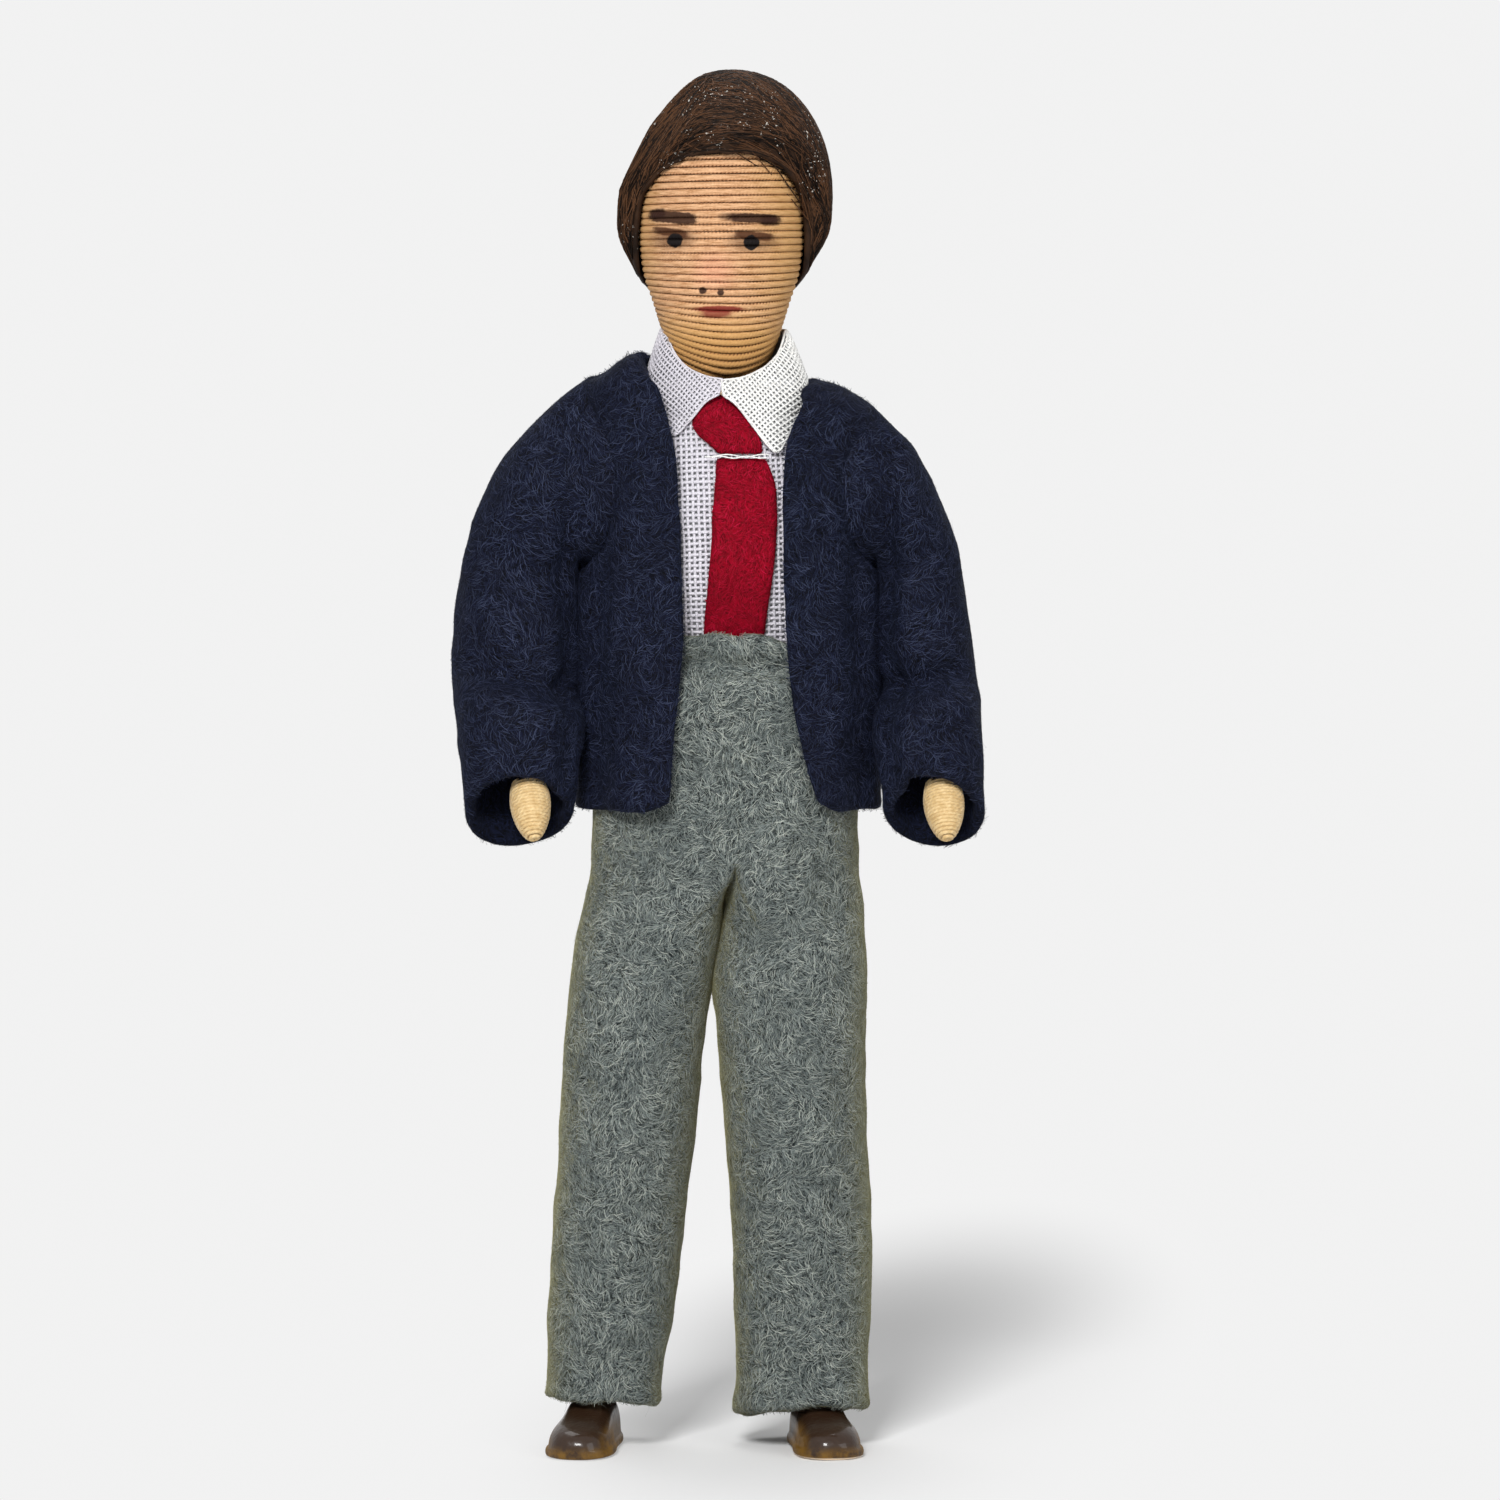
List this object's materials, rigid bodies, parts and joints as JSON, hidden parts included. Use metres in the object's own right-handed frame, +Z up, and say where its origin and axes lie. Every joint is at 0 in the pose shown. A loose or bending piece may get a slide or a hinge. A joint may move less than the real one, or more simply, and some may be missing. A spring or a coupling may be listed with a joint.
{
  "type": "bendy doll",
  "caption": "Thread-bound wire doll's house man in a felt jacket, shirt, tie and trousers, with cast shoes, that bends and holds a pose.",
  "frame": {"origin": "on the floor under the doll, in the middle of its footprint box", "axes": "+Z up along the standing doll, -Y the way it faces, +X towards its own left hand"},
  "size_m": [0.0538, 0.0229, 0.1399],
  "materials": {
    "wire": "dull drawn soft iron",
    "padding": "cotton wadding",
    "binding": "wound cotton thread",
    "head_thread": "wound silky thread, painted face",
    "hair": "glued fibre, slightly glossy",
    "hand_thread": "wound cream thread",
    "shirting": "open plain weave cotton",
    "tie_felt": "crimson felt",
    "jacket_felt": "navy felt",
    "trouser_felt": "grey-green felt",
    "shoe_paint": "glossy dark brown paint"
  },
  "bodies": {
    "pelvis": {"pelvis_padding": "padding", "lower_spine_wire": "wire", "hip_wire": "wire", "trouser_seat": "trouser_felt"},
    "torso": {"chest_padding": "padding", "spine_wire": "wire", "shoulder_wire": "wire", "shirt_front": "shirting", "shirt_collar": "shirting", "tie_knot": "tie_felt", "tie_thread": "shirting", "tie_blade": "tie_felt", "jacket_back": "jacket_felt", "jacket_front_left": "jacket_felt", "jacket_front_right": "jacket_felt"},
    "neck": {"neck_wire": "wire", "neck_binding": "binding"},
    "head": {"head_core": "padding", "head_winding": "head_thread", "hair": "hair"},
    "shoulder_link_left": {"shoulder_bend_left": "wire"},
    "shoulder_link_right": {"shoulder_bend_right": "wire"},
    "upper_arm_left": {"upper_arm_wire_left": "wire", "upper_arm_binding_left": "binding", "jacket_sleeve_left": "jacket_felt"},
    "upper_arm_right": {"upper_arm_wire_right": "wire", "upper_arm_binding_right": "binding", "jacket_sleeve_right": "jacket_felt"},
    "forearm_left": {"forearm_wire_left": "wire", "forearm_binding_left": "binding"},
    "forearm_right": {"forearm_wire_right": "wire", "forearm_binding_right": "binding"},
    "hand_left": {"hand_left": "hand_thread"},
    "hand_right": {"hand_right": "hand_thread"},
    "hip_link_left": {"hip_bend_left": "wire"},
    "hip_link_right": {"hip_bend_right": "wire"},
    "thigh_left": {"thigh_wire_left": "wire", "thigh_binding_left": "binding", "trouser_leg_left": "trouser_felt"},
    "thigh_right": {"thigh_wire_right": "wire", "thigh_binding_right": "binding", "trouser_leg_right": "trouser_felt"},
    "shin_left": {"shin_wire_left": "wire", "shin_binding_left": "binding"},
    "shin_right": {"shin_wire_right": "wire", "shin_binding_right": "binding"},
    "foot_left": {"shoe_left": "shoe_paint"},
    "foot_right": {"shoe_right": "shoe_paint"}
  },
  "joints": [
    {"name": "waist_bend", "type": "hinge", "parent": "pelvis", "child": "torso", "pos_m": [0.0007, 0.001, 0.08], "axis": [1, 0, 0], "range_deg": [-10, 30], "deforming": ["shirt_front", "jacket_back", "jacket_front_left", "jacket_front_right", "trouser_seat"]},
    {"name": "neck_turn", "type": "hinge", "parent": "torso", "child": "neck", "pos_m": [0.0007, 0.001, 0.105], "axis": [0, 0, 1], "range_deg": [-45, 45]},
    {"name": "neck_nod", "type": "hinge", "parent": "neck", "child": "head", "pos_m": [0.0007, 0.001, 0.1104], "axis": [1, 0, 0], "range_deg": [-15, 6]},
    {"name": "shoulder_swing_left", "type": "hinge", "parent": "torso", "child": "shoulder_link_left", "pos_m": [0.0195, -0.0003, 0.098], "axis": [-1, 0, 0], "range_deg": [-30, 120], "deforming": ["jacket_sleeve_left"]},
    {"name": "shoulder_raise_left", "type": "hinge", "parent": "shoulder_link_left", "child": "upper_arm_left", "pos_m": [0.0195, -0.0003, 0.098], "axis": [0, -1, 0], "range_deg": [0, 80], "deforming": ["jacket_sleeve_left"]},
    {"name": "elbow_left", "type": "hinge", "parent": "upper_arm_left", "child": "forearm_left", "pos_m": [0.0217, 0.0006, 0.081], "axis": [-1, 0, 0], "range_deg": [-25, 80], "deforming": ["jacket_sleeve_left"]},
    {"name": "wrist_left", "type": "hinge", "parent": "forearm_left", "child": "hand_left", "pos_m": [0.0226, -0.0068, 0.0684], "axis": [-1, 0, 0], "range_deg": [-35, 35]},
    {"name": "shoulder_swing_right", "type": "hinge", "parent": "torso", "child": "shoulder_link_right", "pos_m": [-0.0173, -0.0003, 0.098], "axis": [-1, 0, 0], "range_deg": [-30, 120], "deforming": ["jacket_sleeve_right"]},
    {"name": "shoulder_raise_right", "type": "hinge", "parent": "shoulder_link_right", "child": "upper_arm_right", "pos_m": [-0.0173, -0.0003, 0.098], "axis": [0, 1, 0], "range_deg": [0, 80], "deforming": ["jacket_sleeve_right"]},
    {"name": "elbow_right", "type": "hinge", "parent": "upper_arm_right", "child": "forearm_right", "pos_m": [-0.0205, 0.0006, 0.081], "axis": [-1, 0, 0], "range_deg": [-25, 80], "deforming": ["jacket_sleeve_right"]},
    {"name": "wrist_right", "type": "hinge", "parent": "forearm_right", "child": "hand_right", "pos_m": [-0.0191, -0.0068, 0.0684], "axis": [-1, 0, 0], "range_deg": [-35, 35]},
    {"name": "hip_swing_left", "type": "hinge", "parent": "pelvis", "child": "hip_link_left", "pos_m": [0.0078, -0.0003, 0.061], "axis": [-1, 0, 0], "range_deg": [-25, 95], "deforming": ["trouser_leg_left"]},
    {"name": "hip_spread_left", "type": "hinge", "parent": "hip_link_left", "child": "thigh_left", "pos_m": [0.0078, -0.0003, 0.061], "axis": [0, -1, 0], "range_deg": [0, 25], "deforming": ["trouser_leg_left"]},
    {"name": "knee_left", "type": "hinge", "parent": "thigh_left", "child": "shin_left", "pos_m": [0.0079, -0.0005, 0.0332], "axis": [1, 0, 0], "range_deg": [0, 100], "deforming": ["trouser_leg_left"]},
    {"name": "ankle_left", "type": "hinge", "parent": "shin_left", "child": "foot_left", "pos_m": [0.0094, 0.0006, 0.0068], "axis": [-1, 0, 0], "range_deg": [-25, 20]},
    {"name": "hip_swing_right", "type": "hinge", "parent": "pelvis", "child": "hip_link_right", "pos_m": [-0.0064, -0.0003, 0.061], "axis": [-1, 0, 0], "range_deg": [-25, 95], "deforming": ["trouser_leg_right"]},
    {"name": "hip_spread_right", "type": "hinge", "parent": "hip_link_right", "child": "thigh_right", "pos_m": [-0.0064, -0.0003, 0.061], "axis": [0, 1, 0], "range_deg": [0, 25], "deforming": ["trouser_leg_right"]},
    {"name": "knee_right", "type": "hinge", "parent": "thigh_right", "child": "shin_right", "pos_m": [-0.0092, -0.0005, 0.0332], "axis": [1, 0, 0], "range_deg": [0, 100], "deforming": ["trouser_leg_right"]},
    {"name": "ankle_right", "type": "hinge", "parent": "shin_right", "child": "foot_right", "pos_m": [-0.0121, 0.0006, 0.0068], "axis": [-1, 0, 0], "range_deg": [-25, 20]}
  ]
}
